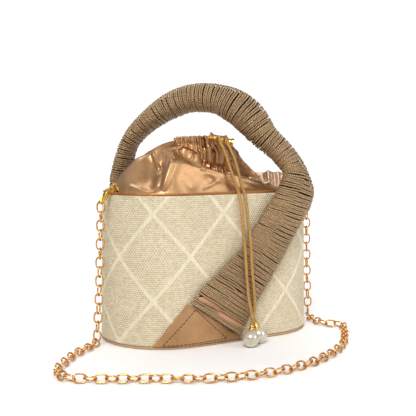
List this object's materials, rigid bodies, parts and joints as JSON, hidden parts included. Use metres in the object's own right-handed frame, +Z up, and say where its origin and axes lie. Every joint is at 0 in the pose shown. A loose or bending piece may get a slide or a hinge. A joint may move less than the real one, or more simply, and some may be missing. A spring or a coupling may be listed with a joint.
{
  "type": "woven bucket bag",
  "caption": "Small oval bag with woven walls, gathered drawcord top, cord-wound arched handle and a clip-on chain strap.",
  "frame": {"origin": "centre of the flat base's underside", "axes": "+X to the bag's right seen from the front, front facing -Y, +Z up"},
  "size_m": [0.2792, 0.2263, 0.2182],
  "materials": {
    "weave": "matt woven straw",
    "leather": "metallic rose-gold foil",
    "board": "plain board",
    "lining": "plain cloth",
    "wrap": "twisted cord with metallic thread",
    "cord": "smooth metallic cord",
    "gold": "polished gold plate",
    "chain": "polished gold plate",
    "steel": "plain pin",
    "pearl": "pearl lustre"
  },
  "bodies": {
    "bag": {"base_cover": "leather", "base_board": "board", "woven_shell": "weave", "wall_board": "board", "lining": "lining", "rim_piping": "leather", "pouch": "leather", "drawcord_loop": "cord", "front_tail": "cord", "rear_tail": "cord", "front_pearl": "pearl", "rear_pearl": "pearl", "front_pearl_cap": "gold", "rear_pearl_cap": "gold", "handle_core": "leather", "handle_wrap": "wrap", "front_patch": "leather", "back_patch": "leather", "left_tab": "leather", "right_tab": "leather", "chain_strap": "chain"},
    "cord_stop": {"cord_stop": "gold"},
    "left_ring": {"left_d_ring": "gold"},
    "right_ring": {"right_d_ring": "gold"},
    "left_clasp": {"left_clasp": "gold", "left_gate_pin": "steel"},
    "right_clasp": {"right_clasp": "gold", "right_gate_pin": "steel"},
    "left_gate": {"left_gate": "gold"},
    "right_gate": {"right_gate": "gold"}
  },
  "joints": [
    {"name": "stop_slide", "type": "slide", "parent": "bag", "child": "cord_stop", "axis": [-0.453, -0.8858, 0.1007], "range_m": [0, 0.007]},
    {"name": "left_ring_swing", "type": "hinge", "parent": "bag", "child": "left_ring", "pos_m": [-0.08935, -0.00723, 0.1266], "axis": [0.1515, -0.9885, 0], "range_deg": [-30, 0]},
    {"name": "left_clasp_swing", "type": "hinge", "parent": "left_ring", "child": "left_clasp", "pos_m": [-0.09058, -0.00742, 0.13124], "axis": [0.1515, -0.9885, 0], "range_deg": [-100, 0]},
    {"name": "left_gate_open", "type": "hinge", "parent": "left_clasp", "child": "left_gate", "pos_m": [-0.09781, -0.00852, 0.12496], "axis": [0.1515, -0.9885, 0], "range_deg": [-12, 0], "stiffness_Nm_per_rad": 0.001, "springref_deg": 11.46},
    {"name": "right_ring_swing", "type": "hinge", "parent": "bag", "child": "right_ring", "pos_m": [0.08935, -0.00723, 0.1266], "axis": [0.1515, 0.9885, 0], "range_deg": [-30, 0]},
    {"name": "right_clasp_swing", "type": "hinge", "parent": "right_ring", "child": "right_clasp", "pos_m": [0.09058, -0.00742, 0.13124], "axis": [0.1515, 0.9885, 0], "range_deg": [-100, 0]},
    {"name": "right_gate_open", "type": "hinge", "parent": "right_clasp", "child": "right_gate", "pos_m": [0.09781, -0.00852, 0.12496], "axis": [0.1515, 0.9885, 0], "range_deg": [-12, 0], "stiffness_Nm_per_rad": 0.001, "springref_deg": 11.46}
  ]
}
